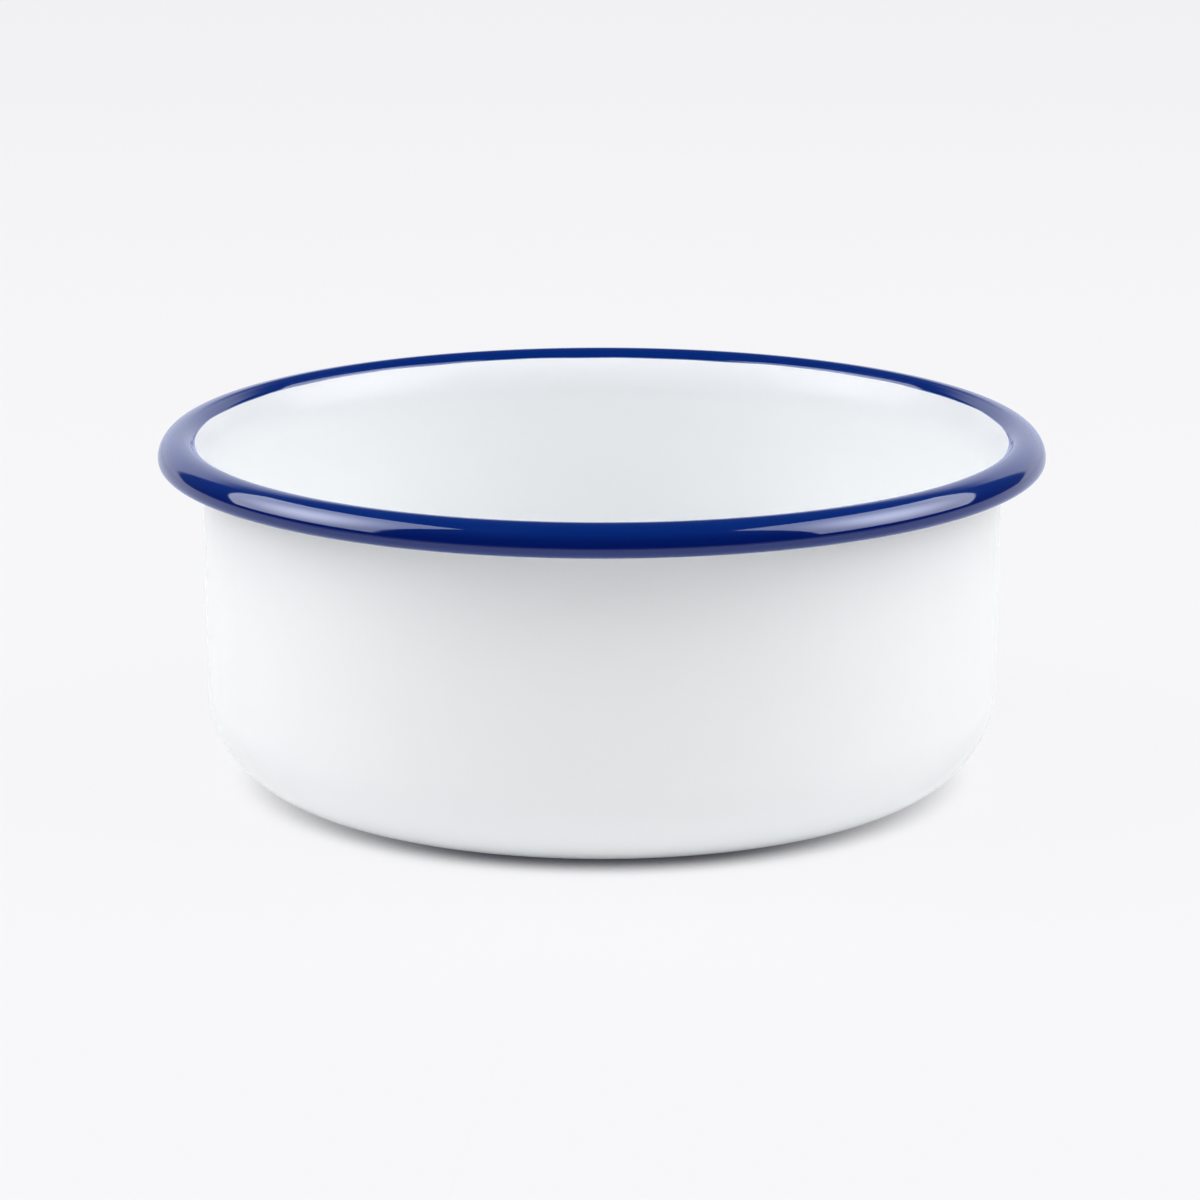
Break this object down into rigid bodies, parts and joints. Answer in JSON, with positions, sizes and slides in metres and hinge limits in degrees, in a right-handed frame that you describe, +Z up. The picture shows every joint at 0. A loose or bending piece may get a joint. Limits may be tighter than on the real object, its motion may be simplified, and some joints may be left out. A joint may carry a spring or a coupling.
{
  "type": "enamel bowl",
  "caption": "Straight-sided round bowl with a rounded heel and a rolled rim, pressed from steel and enamelled white with a blue edge, for serving or mixing food.",
  "frame": {"origin": "middle of the flat base, on the surface the bowl stands on", "axes": "+Z up along the bowl's axis; the bowl is round about it, so X and Y have no front"},
  "size_m": [0.16, 0.16, 0.0635],
  "materials": {
    "sheet_steel": "drawn low-carbon steel sheet, pickled",
    "ground_enamel": "dark fired ground coat, semi-gloss",
    "white_enamel": "white fired cover coat, glossy",
    "blue_enamel": "cobalt blue fired edging, glossy"
  },
  "bodies": {
    "root": {"steel_shell": "sheet_steel", "ground_coat_inside": "ground_enamel", "ground_coat_outside": "ground_enamel", "white_enamel_inside": "white_enamel", "white_enamel_outside": "white_enamel", "blue_rim_enamel": "blue_enamel"}
  },
  "joints": []
}
